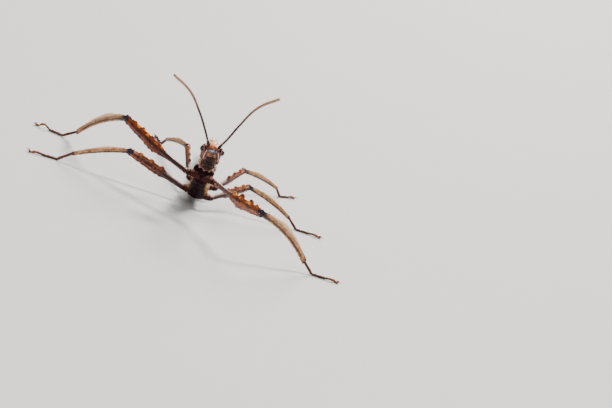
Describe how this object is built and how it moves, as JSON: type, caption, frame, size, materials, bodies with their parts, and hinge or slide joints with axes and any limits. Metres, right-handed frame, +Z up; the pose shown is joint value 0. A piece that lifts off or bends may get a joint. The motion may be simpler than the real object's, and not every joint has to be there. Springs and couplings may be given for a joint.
{
  "type": "stick insect",
  "caption": "Still, life-size model of a spiny leaf-legged stick insect, a nearly grown male nymph, walking with its forebody raised and its feelers spread.",
  "frame": {"origin": "on the floor, under the middle of the insect's own box", "axes": "+Z up, the insect faces -Y, its left side is +X"},
  "size_m": [0.0824, 0.0884, 0.0353],
  "materials": {
    "cuticle": "satin, grained, dark purplish brown",
    "thigh": "satin, translucent rusty brown with dark mottling",
    "shin": "satin, pale tan with a dark lower line",
    "foot": "satin, reddish brown",
    "jaw": "satin, very dark brown",
    "antenna": "matte, dark at the base and tan towards the tip",
    "eye": "glossy, nearly black with a purple cast",
    "claw": "glossy orange-red"
  },
  "bodies": {
    "root": {"head": "cuticle", "eye_right": "eye", "eye_left": "eye", "labrum": "jaw", "mandibles": "jaw", "labium": "jaw", "scape_right": "antenna", "antenna_right": "antenna", "scape_left": "antenna", "antenna_left": "antenna", "prothorax": "cuticle", "mesothorax": "cuticle", "metathorax": "cuticle", "neck": "cuticle", "abdomen_2": "cuticle", "abdomen_3": "cuticle", "abdomen_4": "cuticle", "abdomen_5": "cuticle", "abdomen_6": "cuticle", "abdomen_7": "cuticle", "abdomen_8": "cuticle", "abdomen_9": "cuticle", "abdomen_10": "cuticle", "cercus_right": "cuticle", "cercus_left": "cuticle", "coxa_fore_right": "cuticle", "femur_fore_right": "thigh", "tibia_fore_right": "shin", "tarsus_fore_right": "foot", "claws_fore_right": "claw", "coxa_fore_left": "cuticle", "femur_fore_left": "thigh", "tibia_fore_left": "shin", "tarsus_fore_left": "foot", "claws_fore_left": "claw", "coxa_middle_right": "cuticle", "femur_middle_right": "thigh", "tibia_middle_right": "shin", "tarsus_middle_right": "foot", "claws_middle_right": "claw", "coxa_middle_left": "cuticle", "femur_middle_left": "thigh", "tibia_middle_left": "shin", "tarsus_middle_left": "foot", "claws_middle_left": "claw", "coxa_hind_right": "cuticle", "femur_hind_right": "thigh", "tibia_hind_right": "shin", "tarsus_hind_right": "foot", "claws_hind_right": "claw", "coxa_hind_left": "cuticle", "femur_hind_left": "thigh", "tibia_hind_left": "shin", "tarsus_hind_left": "foot", "claws_hind_left": "claw"}
  },
  "joints": []
}
